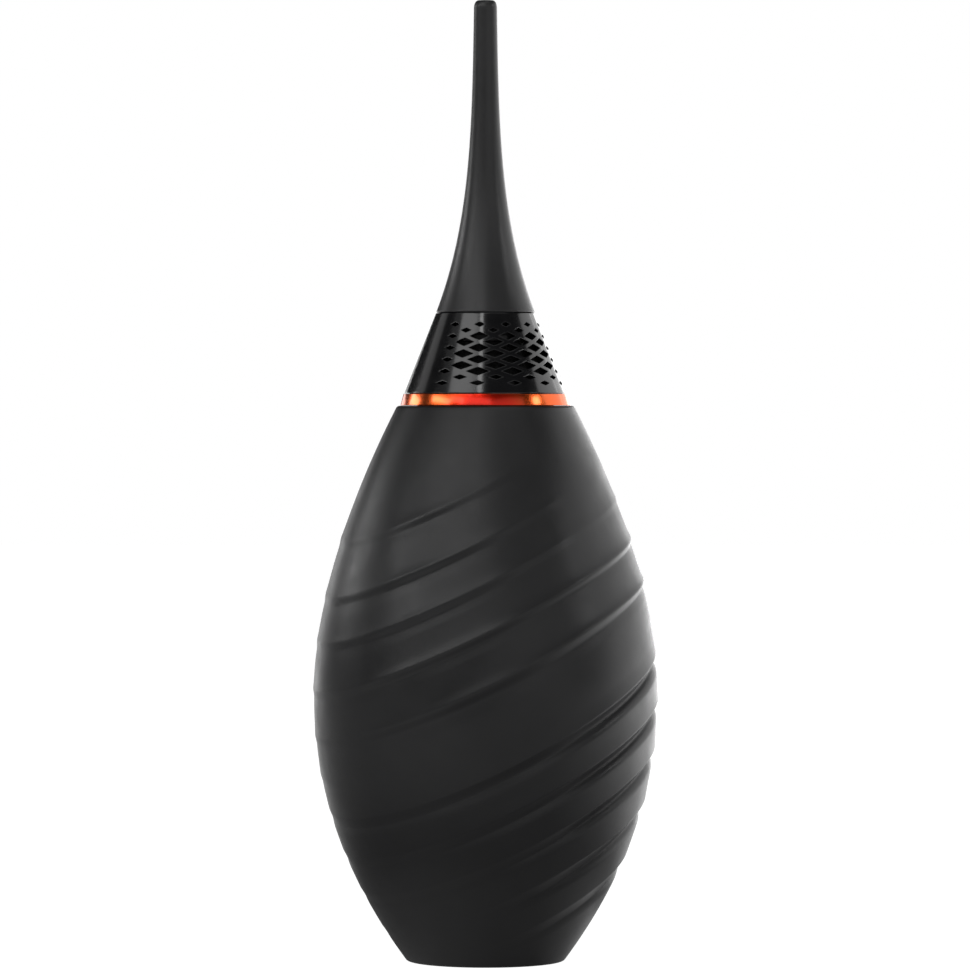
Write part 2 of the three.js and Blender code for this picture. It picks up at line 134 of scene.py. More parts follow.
def bulb_radius(z):
    """Radius of the bulb without its ribs."""
    z = np.asarray(z, float)
    below = np.clip((BELLY_HEIGHT - z) / BELLY_HEIGHT, 0, None)
    above = np.clip((z - BELLY_HEIGHT) / (BULB_HEIGHT - BELLY_HEIGHT), 0, None)
    lower = (BELLY_RADIUS - FOOT_RADIUS) * below**LOWER_CURVE_POWER
    upper = (BELLY_RADIUS - NECK_RADIUS) * above**UPPER_CURVE_POWER
    return BELLY_RADIUS - np.where(z < BELLY_HEIGHT, lower, upper)


def collar_radius(z):
    above = (z - COLLAR_BOTTOM) / (COLLAR_TOP - COLLAR_BOTTOM)
    return COLLAR_BOTTOM_RADIUS - (COLLAR_BOTTOM_RADIUS - COLLAR_TOP_RADIUS) * above


def nozzle_radius(z):
    below = (FULL_HEIGHT - z) / (FULL_HEIGHT - NOZZLE_BOTTOM)
    return NOZZLE_TIP_RADIUS + NOZZLE_DRAFT * below + NOZZLE_FLARE * below**NOZZLE_FLARE_POWER


def smoothstep(low, high, x):
    t = np.clip((np.asarray(x, float) - low) / (high - low), 0, 1)
    return t * t * (3 - 2 * t)


# ---------------------------------------------------------------- mesh helpers


def rounded(corners, steps=5):
    """Points of an outline given as (r, z) or (r, z, rounding radius) corners."""
    points = []
    for i, corner in enumerate(corners):
        here = np.array(corner[:2], float)
        if len(corner) == 2:
            points.append(here)
            continue
        before = np.array(corners[i - 1][:2], float) - here
        after = np.array(corners[(i + 1) % len(corners)][:2], float) - here
        before /= np.linalg.norm(before)
        after /= np.linalg.norm(after)
        half_angle = math.acos(np.clip(before @ after, -1, 1)) / 2
        bisector = (before + after) / np.linalg.norm(before + after)
        centre = here + bisector * corner[2] / math.sin(half_angle)
        reach = corner[2] / math.tan(half_angle)
        start = here + before * reach - centre
        end = here + after * reach - centre
        for share in np.linspace(0, 1, steps + 1):
            direction = start + (end - start) * share
            points.append(centre + direction / np.linalg.norm(direction) * corner[2])
    return np.array(points)


def revolve(radii, heights, segments):
    """Vertices and faces of a turned solid. radii holds one number, or one row of numbers, per height.

    The outline goes outside upwards and inside downwards. It closes on itself unless it starts on the
    axis."""
    radii = np.array(radii, float)
    if radii.ndim == 1:
        radii = np.repeat(radii[:, None], segments, axis=1)
    heights = np.array(heights, float)
    on_axis = radii[0, 0] == 0
    angles = 2 * math.pi * np.arange(segments) / segments
    inner = slice(1, -1) if on_axis else slice(None)
    r, z = radii[inner], heights[inner]
    rings = len(r)
    z_grid = np.repeat(z[:, None], segments, axis=1)
    vertices = np.stack([r * np.sin(angles), -r * np.cos(angles), z_grid], axis=2).reshape(-1, 3).tolist()
    faces = []
    for i in range(rings if not on_axis else rings - 1):
        low = i * segments
        high = ((i + 1) % rings) * segments
        for k in range(segments):
            n = (k + 1) % segments
            faces.append((low + k, low + n, high + n, high + k))
    if on_axis:
        first, last = len(vertices), len(vertices) + 1
        vertices += [[0, 0, float(heights[0])], [0, 0, float(heights[-1])]]
        top = (rings - 1) * segments
        for k in range(segments):
            n = (k + 1) % segments
            faces.append((first, n, k))
            faces.append((last, top + k, top + n))
    return vertices, faces


def smooth(mesh, sharp_deg=SHARP_EDGE_DEG):
    mesh.shade_smooth()
    mesh.set_sharp_from_angle(angle=math.radians(sharp_deg))


def new_piece(name, vertices, faces, material):
    mesh = bpy.data.meshes.new(name)
    mesh.from_pydata([[c * MM for c in v] for v in vertices], [], faces)
    mesh.validate()
    smooth(mesh)
    mesh.materials.append(material)
    piece = bpy.data.objects.new(name, mesh)
    bpy.context.scene.collection.objects.link(piece)
    return piece


def turned(name, corners, material, segments=160, steps=5):
    outline = rounded(corners, steps)
    return new_piece(name, *revolve(outline[:, 0], outline[:, 1], segments), material)


def stands_for(piece, body, slot, *nodes):
    """Makes a piece move with a body and take the place of CAD nodes."""
    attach(piece, body)
    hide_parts(*nodes)


# ---------------------------------------------------------------- materials

NOISE_ROUGHNESS = 0.55
# The part of a noise texture's 0 to 1 that most of its values lie in.
NOISE_LOW, NOISE_HIGH = 0.3, 0.7


def material(name, color, roughness):
    """A new material, with its nodes, its links and its Principled shader."""
    made = bpy.data.materials.new(name)
    made.use_nodes = True
    shader = made.node_tree.nodes["Principled BSDF"]
    shader.inputs["Base Color"].default_value = (*color, 1)
    shader.inputs["Roughness"].default_value = roughness
    return made, made.node_tree.nodes, made.node_tree.links, shader


def noise(nodes, links, scale, detail, stretch=(1, 1, 1)):
    """A noise texture in object space. scale is in features per metre."""
    place = nodes.new("ShaderNodeTexCoord")
    mapping = nodes.new("ShaderNodeMapping")
    mapping.inputs["Scale"].default_value = stretch
    texture = nodes.new("ShaderNodeTexNoise")
    texture.inputs["Scale"].default_value = scale
    texture.inputs["Detail"].default_value = detail
    texture.inputs["Roughness"].default_value = NOISE_ROUGHNESS
    links.new(place.outputs["Object"], mapping.inputs["Vector"])
    links.new(mapping.outputs["Vector"], texture.inputs["Vector"])
    return texture.outputs["Fac"]


def ramp(nodes, links, source, low, high):
    """Maps a texture's middle range to low..high."""
    mapped = nodes.new("ShaderNodeMapRange")
    mapped.inputs["From Min"].default_value = NOISE_LOW
    mapped.inputs["From Max"].default_value = NOISE_HIGH
    mapped.inputs["To Min"].default_value = low
    mapped.inputs["To Max"].default_value = high
    links.new(source, mapped.inputs["Value"])
    return mapped.outputs["Result"]


def tint(nodes, links, source, dark, light):
    """Mixes two colours by a texture."""
    mix = nodes.new("ShaderNodeMix")
    mix.data_type = "RGBA"
    mix.inputs["A"].default_value = (*dark, 1)
    mix.inputs["B"].default_value = (*light, 1)
    links.new(ramp(nodes, links, source, 0, 1), mix.inputs["Factor"])
    return mix.outputs["Result"]


def bump(nodes, links, shader, source, depth_mm, strength, before=None):
    """Gives a shader a fine relief, on top of the one that came before."""
    node = nodes.new("ShaderNodeBump")
    node.inputs["Strength"].default_value = strength
    node.inputs["Distance"].default_value = depth_mm * MM
    links.new(source, node.inputs["Height"])
    if before is not None:
        links.new(before.outputs["Normal"], node.inputs["Normal"])
    links.new(node.outputs["Normal"], shader.inputs["Normal"])
    return node


def silicone_material():
    """Matte moulded silicone: a fine tooth, slight cloudiness and a soft sheen."""
    made, nodes, links, shader = material("bulb_silicone", (0.016, 0.016, 0.017), 0.39)
    shader.inputs["Specular IOR Level"].default_value = 0.58
    cloud = noise(nodes, links, 55, 3)
    color = tint(nodes, links, cloud, (0.0135, 0.0135, 0.0145), (0.0195, 0.0195, 0.0205))
    links.new(color, shader.inputs["Base Color"])
    patches = noise(nodes, links, 170, 5)
    links.new(ramp(nodes, links, patches, 0.35, 0.43), shader.inputs["Roughness"])
    tooth = bump(nodes, links, shader, noise(nodes, links, 5200, 3), 0.018, 0.5)
    bump(nodes, links, shader, noise(nodes, links, 420, 2), 0.05, 0.25, before=tooth)
    return made


def nozzle_material():
    """Satin moulded plastic with a very fine, slightly lengthwise grain."""
    made, nodes, links, shader = material("nozzle_black", (0.03, 0.03, 0.031), 0.36)
    cloud = noise(nodes, links, 90, 3)
    color = tint(nodes, links, cloud, (0.027, 0.027, 0.028), (0.034, 0.034, 0.035))
    links.new(color, shader.inputs["Base Color"])
    grain = noise(nodes, links, 3800, 3, (1, 1, 0.25))
    links.new(ramp(nodes, links, grain, 0.31, 0.41), shader.inputs["Roughness"])
    bump(nodes, links, shader, grain, 0.008, 0.35)
    return made


def gloss_material():
    """Polished black plastic with faint handling haze."""
    made, nodes, links, shader = material("gloss_black", (0.006, 0.006, 0.007), 0.17)
    shader.inputs["Specular IOR Level"].default_value = 0.7
    shader.inputs["Coat Weight"].default_value = 0.45
    shader.inputs["Coat Roughness"].default_value = 0.1
    haze = noise(nodes, links, 260, 4)
    links.new(ramp(nodes, links, haze, 0.14, 0.21), shader.inputs["Roughness"])
    bump(nodes, links, shader, noise(nodes, links, 700, 2), 0.004, 0.2)
    return made


def anodised_material():
    """Anodised aluminium: red face on, orange towards the edges, with fine turning lines round the ring."""
    made, nodes, links, shader = material("orange_anodised", (0.9, 0.08, 0.02), 0.2)
    shader.inputs["Metallic"].default_value = 1.0
    facing = nodes.new("ShaderNodeLayerWeight")
    facing.inputs["Blend"].default_value = 0.5
    shift = nodes.new("ShaderNodeMapRange")
    shift.interpolation_type = "SMOOTHSTEP"
    shift.inputs["From Min"].default_value = 0.03
    shift.inputs["From Max"].default_value = 0.22
    hue = nodes.new("ShaderNodeMix")
    hue.data_type = "RGBA"
    hue.inputs["A"].default_value = (0.9, 0.024, 0.008, 1)
    hue.inputs["B"].default_value = (0.95, 0.15, 0.028, 1)
    links.new(facing.outputs["Facing"], shift.inputs["Value"])
    links.new(shift.outputs["Result"], hue.inputs["Factor"])
    links.new(hue.outputs["Result"], shader.inputs["Base Color"])
    shader.inputs["Coat Weight"].default_value = 0.4
    shader.inputs["Coat Roughness"].default_value = 0.1
    lines = noise(nodes, links, 900, 3, (0.02, 0.02, 14))
    links.new(ramp(nodes, links, lines, 0.19, 0.23), shader.inputs["Roughness"])
    bump(nodes, links, shader, lines, 0.0012, 0.06)
    return made


def inner_plastic_material():
    made, nodes, links, shader = material("inner_plastic", (0.017, 0.017, 0.019), 0.45)
    grain = noise(nodes, links, 1800, 4)
    links.new(ramp(nodes, links, grain, 0.38, 0.55), shader.inputs["Roughness"])
    bump(nodes, links, shader, grain, 0.01, 0.3)
    return made


def valve_silicone_material():
    made, nodes, links, shader = material("valve_silicone", (0.5, 0.47, 0.42), 0.45)
    shader.inputs["Subsurface Weight"].default_value = 0.25
    shader.inputs["Subsurface Radius"].default_value = (0.001, 0.0009, 0.0008)
    bump(nodes, links, shader, noise(nodes, links, 2200, 3), 0.01, 0.3)
    return made


def seal_rubber_material():
    made, nodes, links, shader = material("seal_rubber", (0.011, 0.011, 0.012), 0.4)
    grain = noise(nodes, links, 2600, 3)
    links.new(ramp(nodes, links, grain, 0.33, 0.5), shader.inputs["Roughness"])
    bump(nodes, links, shader, grain, 0.01, 0.3)
    return made


def foam_material():
    """Open-cell foam: painted shade in the cells, which are darker than the struts between them."""
    made, nodes, links, shader = material("filter_foam", (0.012, 0.012, 0.013), 0.95)
    place = nodes.new("ShaderNodeTexCoord")
    cells = nodes.new("ShaderNodeTexVoronoi")
    cells.inputs["Scale"].default_value = 1900
    links.new(place.outputs["Object"], cells.inputs["Vector"])
    # Painted shade: the cell colour is darkest in the middle of each pore and lighter on the struts.
    color = tint(nodes, links, cells.outputs["Distance"], (0.004, 0.004, 0.004), (0.02, 0.02, 0.021))
    links.new(color, shader.inputs["Base Color"])
    bump(nodes, links, shader, cells.outputs["Distance"], 0.25, 0.9)
    return made


SILICONE = silicone_material()
NOZZLE = nozzle_material()
GLOSS = gloss_material()
ANODISED = anodised_material()

SLOT_MATERIALS = {
    "bulb_silicone": SILICONE,
    "nozzle_black": NOZZLE,
    "gloss_black": GLOSS,
    "orange_anodised": ANODISED,
    "inner_plastic": inner_plastic_material(),
    "valve_silicone": valve_silicone_material(),
    "seal_rubber": seal_rubber_material(),
    "filter_foam": foam_material(),
}

# The material slot that the record gives each CAD node.
SLOTS = {row["node"]: row["material_slot"] for row in frame["record"]["subparts"]}

# ---------------------------------------------------------------- bulb

# Each rib ends at a crease, where the wall steps in. A crease lies in a tilted plane, and is named by the
# plane's height on the axis.
RIB_RISE_SIDEWAYS = 0.48
UPPER_RIB_DROP_FORWARD = 0.135
LOWER_RIB_DROP_FORWARD = 0.225
RIB_GROUPS_MEET = (41, 56)
RIB_ANGLES_DEG = [-180, -90, -50, -25, 0, 20, 45, 70, 90, 180]
# How far each rib stands out at those angles. The smooth band between 41 and 56 has a rib at the back only.
UPPER_RIB_RELIEF = {
    89.1: [0.30, 0.14, 0.08, 0.28, 0.12, 0.00, 0.00, 0.00, 0.05, 0.30],
    80.3: [0.30, 0.14, 0.10, 0.38, 0.26, 0.05, 0.00, 0.00, 0.06, 0.30],
    72.8: [0.30, 0.14, 0.09, 0.42, 0.38, 0.12, 0.06, 0.14, 0.16, 0.30],
    64.4: [0.30, 0.14, 0.08, 0.42, 0.52, 0.34, 0.28, 0.46, 0.34, 0.30],
    55.8: [0.30, 0.14, 0.07, 0.30, 0.56, 0.52, 0.54, 0.62, 0.42, 0.30],
    48.5: [0.30, 0.12, 0.00, 0.00, 0.00, 0.00, 0.00, 0.00, 0.05, 0.30],
}
LOWER_RIB_RELIEF = {
    41.3: [0.30, 0.16, 0.08, 0.10, 0.26, 0.52, 0.85, 1.00, 0.85, 0.30],
    32.8: [0.30, 0.14, 0.06, 0.08, 0.20, 0.50, 0.92, 1.05, 0.90, 0.30],
    24.5: [0.25, 0.12, 0.05, 0.06, 0.15, 0.44, 0.92, 1.05, 0.90, 0.25],
    15.85: [0.20, 0.10, 0.00, 0.00, 0.06, 0.28, 0.74, 0.90, 0.80, 0.20],
    7.4: [0.10, 0.05, 0.00, 0.00, 0.00, 0.08, 0.34, 0.55, 0.50, 0.10],
}
RIB_SWELL_POWER = 1.5
UPPER_RIB_SWELL = 5.0
UPPER_RIB_EDGE = 0.9
UPPER_RIB_EDGE_POWER = 1.4
UPPER_RIB_EDGE_SHARE = 0.45
UPPER_RIB_STEP = 1.6
UPPER_RIB_HOLLOW = 3.6
UPPER_RIB_HOLLOW_SHARE = 0.18
LOWER_RIB_SWELL = 3.0
LOWER_RIB_PROUD_SHARE = 0.2
LOWER_RIB_UNDERSIDE = 2.0
LOWER_RIB_RETURN = 1.9
RIB_FREE_NECK = (89, 96)
RIB_FREE_FOOT = (2, 7)

BULB_SEGMENTS = 640
BULB_ROWS = 600
BULB_INSIDE_ROWS = 60
FOOT_ROUND = 0.8
# The ribbed wall runs from this height up to this far below the bulb's top.
WALL_BOTTOM = 0.6
WALL_TOP_GAP = 0.9
LIP_ROUND = 0.75
MOUTH_ROUND = 0.4
LIP_UNDERSIDE_ROUND = 0.6
# The inside wall starts this far under the lip, and ends this far over the floor.
INSIDE_TOP_GAP = 1.5
INSIDE_BOTTOM_GAP = 2
FLOOR_CORNER_RADIUS = 12.6
FLOOR_CORNER_ROUND = 1.0
# Rings of vertices that keep the foot's and the floor's faces from being long slivers.
FOOT_RINGS = (5, 10)
FLOOR_RING = 6


def rib_strength(relief, phi_deg):
    """A rib's height at each angle, eased between the angles it is given at."""
    phi_deg = (phi_deg + 180) % 360 - 180
    strength = np.zeros_like(phi_deg)
    for i in range(len(relief) - 1):
        low, high = RIB_ANGLES_DEG[i], RIB_ANGLES_DEG[i + 1]
        here = (phi_deg >= low) & (phi_deg <= high)
        eased = relief[i] + (relief[i + 1] - relief[i]) * smoothstep(low, high, phi_deg)
        strength = np.where(here, eased, strength)
    return strength


def upper_rib_profile(above):
    """Share of an upper rib's height at a distance above its crease.

    Going down, the wall swells out to a rounded edge, steps in at the crease, and comes back out of a
    hollow."""
    below = -above
    swell = (1 - np.clip(above / UPPER_RIB_SWELL, 0, 1)) ** RIB_SWELL_POWER
    edge = np.exp(-(np.clip(above, 0, None) / UPPER_RIB_EDGE) ** UPPER_RIB_EDGE_POWER)
    down_to_crease = (1 - UPPER_RIB_EDGE_SHARE) * swell + UPPER_RIB_EDGE_SHARE * edge
    step_in = 1 - (1 + UPPER_RIB_HOLLOW_SHARE) * smoothstep(0, UPPER_RIB_STEP, below)
    out_of_hollow = UPPER_RIB_HOLLOW_SHARE * smoothstep(UPPER_RIB_STEP, UPPER_RIB_HOLLOW, below)
    return np.where(above >= 0, down_to_crease, step_in + out_of_hollow)


def lower_rib_profile(above):
    """Share of a lower rib's height at a distance above its crease.

    Going down, the wall ends in an edge, slopes in under it and comes back out, quickly at first."""
    below = -above
    swell = LOWER_RIB_PROUD_SHARE * (1 - np.clip(above / LOWER_RIB_SWELL, 0, 1)) ** RIB_SWELL_POWER
    slope = np.sin(np.clip(below / LOWER_RIB_UNDERSIDE, 0, 1) * math.pi / 2)
    underside = LOWER_RIB_PROUD_SHARE - (1 + LOWER_RIB_PROUD_SHARE) * slope
    coming_out = -np.clip(1 - (below - LOWER_RIB_UNDERSIDE) / LOWER_RIB_RETURN, 0, 1) ** 2
    return np.where(above >= 0, swell, np.where(below < LOWER_RIB_UNDERSIDE, underside, coming_out))


def rib_relief(phi_deg, z):
    """How far the ribs stand out of the smooth bulb at each angle and height."""
    phi = np.radians(phi_deg)
    radius = bulb_radius(z)
    beside = z - RIB_RISE_SIDEWAYS * radius * np.sin(phi)
    share = smoothstep(*RIB_GROUPS_MEET, beside)
    drop = LOWER_RIB_DROP_FORWARD + (UPPER_RIB_DROP_FORWARD - LOWER_RIB_DROP_FORWARD) * share
    on_axis = beside + drop * radius * np.cos(phi)
    relief = np.zeros_like(z)
    for crease, heights in UPPER_RIB_RELIEF.items():
        relief += rib_strength(heights, phi_deg) * upper_rib_profile(on_axis - crease)
    for crease, heights in LOWER_RIB_RELIEF.items():
        relief += rib_strength(heights, phi_deg) * lower_rib_profile(on_axis - crease)
    return relief * (1 - smoothstep(*RIB_FREE_NECK, z)) * smoothstep(*RIB_FREE_FOOT, z)


def make_bulb():
    foot = rounded([
        (0, 0),
        *((r, 0) for r in FOOT_RINGS),
        (FOOT_RADIUS, 0, FOOT_ROUND),
        (bulb_radius(WALL_BOTTOM), WALL_BOTTOM),
    ])[:-1]
    wall_z = np.linspace(WALL_BOTTOM, BULB_HEIGHT - WALL_TOP_GAP, BULB_ROWS)
    wall = np.stack([bulb_radius(wall_z), wall_z], axis=1)
    inside_z = np.linspace(LIP_UNDERSIDE - INSIDE_TOP_GAP, BULB_FLOOR + INSIDE_BOTTOM_GAP, BULB_INSIDE_ROWS)
    inside = np.stack([bulb_radius(inside_z) - BULB_WALL, inside_z], axis=1)
    mouth = rounded([
        tuple(wall[-1]),
        (NECK_RADIUS, BULB_HEIGHT, LIP_ROUND),
        (MOUTH_RADIUS, BULB_HEIGHT, MOUTH_ROUND),
        (MOUTH_RADIUS, LIP_UNDERSIDE, MOUTH_ROUND),
        (float(bulb_radius(LIP_UNDERSIDE)) - BULB_WALL, LIP_UNDERSIDE, LIP_UNDERSIDE_ROUND),
        tuple(inside[0]),
    ])[1:-1]
    floor = rounded([
        tuple(inside[-1]),
        (FLOOR_CORNER_RADIUS, BULB_FLOOR, FLOOR_CORNER_ROUND),
        (FLOOR_RING, BULB_FLOOR),
        (0, BULB_FLOOR),
    ])[1:]
    outline = np.concatenate([foot, wall, mouth, inside, floor])
    radii = np.repeat(outline[:, :1], BULB_SEGMENTS, axis=1)
    phi = 360 * np.arange(BULB_SEGMENTS) / BULB_SEGMENTS
    phi_grid, z_grid = np.meshgrid(phi, wall_z)
    radii[len(foot):len(foot) + BULB_ROWS] += rib_relief(phi_grid, z_grid)
    bulb = new_piece("bulb_skin", *revolve(radii, outline[:, 1], BULB_SEGMENTS), SILICONE)
    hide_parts("bulb", "bulb_thumb_wall")
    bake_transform(bulb)


make_bulb()

# ---------------------------------------------------------------- trim ring and nozzle


def make_trim_ring():
    ring = turned("trim_ring_metal", [
        (RING_BORE, RING_BOTTOM, 0.1),
        (RING_BOTTOM_RADIUS, RING_BOTTOM, 0.1),
        (RING_TOP_RADIUS, RING_TOP, 0.09),
        (RING_BORE, RING_TOP, 0.1),
    ], ANODISED, segments=256)
    stands_for(ring, "bulb", "orange_anodised", "trim_ring")


def make_nozzle():
    outside_bottom = NOZZLE_BOTTOM + NOZZLE_STRAIGHT_EDGE
    outside_z = np.linspace(outside_bottom, FULL_HEIGHT - NOZZLE_TIP_ROUND, NOZZLE_ROWS)
    shoulder = nozzle_radius(outside_z[-1])
    corners = [
        (NOZZLE_SEAL_RECESS_RADIUS, NOZZLE_BOTTOM, 0.15),
        (float(nozzle_radius(NOZZLE_BOTTOM)), NOZZLE_BOTTOM, 0.18),
    ]
    corners += [(float(nozzle_radius(z)), float(z)) for z in outside_z]
    for turn in np.linspace(0.1, math.pi / 2, NOZZLE_TIP_STEPS):
        r = NOZZLE_TIP_FLAT_RADIUS + (shoulder - NOZZLE_TIP_FLAT_RADIUS) * math.cos(turn)
        corners.append((r, FULL_HEIGHT - NOZZLE_TIP_ROUND * (1 - math.sin(turn))))
    corners += [
        (NOZZLE_TIP_BORE, FULL_HEIGHT, 0.08),
        (NOZZLE_BORE_BELOW_TIP, FULL_HEIGHT - NOZZLE_TIP_BORE_LENGTH),
        (NOZZLE_BASE_BORE, NOZZLE_SOCKET_TOP, 0.1),
        (NOZZLE_SOCKET_RADIUS, NOZZLE_SOCKET_TOP, 0.3),
        (NOZZLE_SOCKET_RADIUS, NOZZLE_SEAL_RECESS_TOP, 0.1),
        (NOZZLE_SEAL_RECESS_RADIUS, NOZZLE_SEAL_RECESS_TOP, 0.1),
    ]
    nozzle = turned("nozzle_body", corners, NOZZLE, segments=192, steps=7)
    stands_for(nozzle, "nozzle", "nozzle_black", "nozzle")


make_trim_ring()
make_nozzle()

# ---------------------------------------------------------------- intake collar

WINDOW_MIDDLES_DEG = [22, 202]
LATTICE_COLUMN_DEG = 14
LATTICE_ROW = 1.05
LATTICE_COLUMNS = 4
LATTICE_ROWS = 5
LATTICE_MIDDLE = 109.55
DIAMOND_HALF_DEG = 9
DIAMOND_HALF_HEIGHT = 0.7
BORDER_DIAMOND_SCALE = 0.58
DIAMOND_POWER = 1.05
DIAMOND_POINTS = 28
DIAMOND_BEVEL = 0.06
DIAMOND_MARGIN = 0.07
COLLAR_SEAM_DEG = -68
COLLAR_STEP_DEG = 2
COLLAR_COLUMNS = 360 // COLLAR_STEP_DEG
COLLAR_ROWS = 24
COLLAR_EDGE = 0.3
# Faces are cut out of a hole up to this close to its rim.
DIAMOND_CUT_MARGIN = 0.004
DIAMOND_BEVEL_SHARES = (0.35, 0.7, 1.0)
# The inner shell's rows close up from this far below the top plate, to this share of their spacing.
PLATE_CORNER = 0.3
PLATE_SQUEEZE = 0.2
# The top plate's underside ends this far inside the wall.
PLATE_INNER_EDGE = 0.2
# A recessed lip closes the gap above the trim ring.
COLLAR_LIP_RADIUS = 14.3
COLLAR_LIP_GAP = 0.02
# Roughly the collar's radius half way up, so that a degree round it has about its true width.
COLLAR_MIDDLE_RADIUS = 11.8
MM_PER_DEG = math.radians(1) * COLLAR_MIDDLE_RADIUS
# Heights and unrolled points closer than these, in millimetres, are the same. The seam's is in metres.
SAME_HEIGHT = 1e-4
SAME_POINT = 1e-6
SEAM_DISTANCE = 1e-7
ALL_TRIANGLES = 0


def diamonds():
    """(angle, height, half angle, half height) of every hole."""
    for middle in WINDOW_MIDDLES_DEG:
        for column in range(-LATTICE_COLUMNS, LATTICE_COLUMNS + 1):
            for row in range(-LATTICE_ROWS, LATTICE_ROWS + 1):
                if (row + column) % 2 == 0:
                    continue
                border = abs(column) == LATTICE_COLUMNS or abs(row) >= LATTICE_ROWS - 1
                scale = BORDER_DIAMOND_SCALE if border else 1
                yield (
                    middle + column * LATTICE_COLUMN_DEG,
                    LATTICE_MIDDLE + row * LATTICE_ROW,
                    DIAMOND_HALF_DEG * scale,
                    DIAMOND_HALF_HEIGHT * scale,
                )


def diamond_loop(hole, grow):
    """Points round a hole, moved outwards by grow, as (angle, height)."""
    angle, z, half_deg, half_height = hole
    half_width = half_deg * MM_PER_DEG
    side_distance = half_width * half_height / math.hypot(half_width, half_height)
    size = 1 + grow / side_distance
    turn = 2 * math.pi * np.arange(DIAMOND_POINTS) / DIAMOND_POINTS
    across = np.sign(np.cos(turn)) * np.abs(np.cos(turn)) ** (2 / DIAMOND_POWER)
    up = np.sign(np.sin(turn)) * np.abs(np.sin(turn)) ** (2 / DIAMOND_POWER)
    return np.stack([angle + half_deg * size * across, z + half_height * size * up], axis=1)


def inside_diamond(points, hole, grow):
    angle, z, half_deg, half_height = hole
    half_width = half_deg * MM_PER_DEG
    size = 1 + grow * math.hypot(half_width, half_height) / (half_width * half_height)
    across = np.abs(points[:, 0] - angle) / (half_deg * size)
    up = np.abs(points[:, 1] - z) / (half_height * size)
    return across**DIAMOND_POWER + up**DIAMOND_POWER < 1


def collar_points(plane, depth):
    """(angle, height) points to 3D, at a depth behind the cone's surface."""
    angle = np.radians(plane[:, 0])
    radius = collar_radius(plane[:, 1]) - depth
    return np.stack([radius * np.sin(angle), -radius * np.cos(angle), plane[:, 1]], axis=1)


def sheet_points(holes, grid_angles, grid_heights):
    """Points of the cone's wall, unrolled to (angle, height): a grid clear of the holes, then two loops round
    each hole. Returns them with the loops' edges and the inner loops' point numbers."""
    grid = np.array([(a, z) for z in grid_heights for a in grid_angles])
    keep = np.ones(len(grid), bool)
    for hole in holes:
        keep &= ~inside_diamond(grid, hole, DIAMOND_BEVEL + DIAMOND_MARGIN * 2)
    points = [grid[keep]]
    count = len(points[0])
    edges = []
    rims = []
    for hole in holes:
        for grow in (DIAMOND_BEVEL + DIAMOND_MARGIN, DIAMOND_BEVEL):
            points.append(diamond_loop(hole, grow))
            ids = [count + i for i in range(DIAMOND_POINTS)]
            edges += list(zip(ids, ids[1:] + ids[:1]))
            count += DIAMOND_POINTS
        rims.append(ids)
    return np.concatenate(points), edges, rims


def collar_sheet(holes, grid_angles, grid_heights):
    """The unrolled wall with its holes: points, triangles, and the point numbers of each hole's rim."""
    plane, edges, rims = sheet_points(holes, grid_angles, grid_heights)
    flat = [Vector((a * MM_PER_DEG, z)) for a, z in plane]
    points, _, cells, sources = delaunay_2d_cdt(flat, edges, [], ALL_TRIANGLES, SAME_POINT)[:4]
    new_of_old = {old: new for new, olds in enumerate(sources) for old in olds}
    plane = np.array([(v.x / MM_PER_DEG, v.y) for v in points])
    triangles = np.array(cells)
    centres = plane[triangles].mean(axis=1)
    solid = np.ones(len(triangles), bool)
    for hole in holes:
        solid &= ~inside_diamond(centres, hole, DIAMOND_BEVEL - DIAMOND_CUT_MARGIN)
    return plane, triangles[solid], [[new_of_old[i] for i in rim] for rim in rims]


def under_plate(plane, plate_bottom):
    """The sheet's points with the top rows squeezed together, so that they end under the top plate."""
    squeezed = plane.copy()
    start = plate_bottom - PLATE_CORNER
    top = squeezed[:, 1] > start
    squeezed[top, 1] = start + (squeezed[top, 1] - start) * PLATE_SQUEEZE
    return squeezed


def edge_ring(plane, height):
    """The sheet's points along its top or bottom edge, in order round the cone. The seam's point, which is
    there twice, counts once."""
    at = np.where(np.abs(plane[:, 1] - height) < SAME_HEIGHT)[0]
    return [int(i) for i in at[np.argsort(plane[at, 0])][:-1]]


def add_ring(vertices, points):
    """Adds points to the vertices, and returns their numbers."""
    start = len(vertices)
    vertices.extend(points.tolist())
    return list(range(start, len(vertices)))


def join_rings(faces, rings):
    """Adds a band of faces from each ring of vertices to the next. All rings run the same way round."""
    for first, second in zip(rings, rings[1:]):
        for i in range(len(first)):
            n = (i + 1) % len(first)
            faces.append((first[i], second[i], second[n], first[n]))


def hole_wall(vertices, faces, hole, rim, inner_rim):
    """Bevels a hole's outer rim and joins it to the inner one."""
    rings = [rim]
    for share in DIAMOND_BEVEL_SHARES:
        turn = share * math.pi / 2
        loop = diamond_loop(hole, DIAMOND_BEVEL * (1 - math.sin(turn)))
        rings.append(add_ring(vertices, collar_points(loop, DIAMOND_BEVEL * (1 - math.cos(turn)))))
    rings.append(inner_rim)
    join_rings(faces, rings)


def close_edge(vertices, faces, angles, start, outline, end):
    """Joins an outer edge ring to an inner one through an outline of (r, z) points."""
    rings = [start]
    for r, z in outline:
        ring = np.stack([r * np.sin(angles), -r * np.cos(angles), np.full(len(angles), z)], axis=1)
        rings.append(add_ring(vertices, ring))
    rings.append(end)
    join_rings(faces, rings)


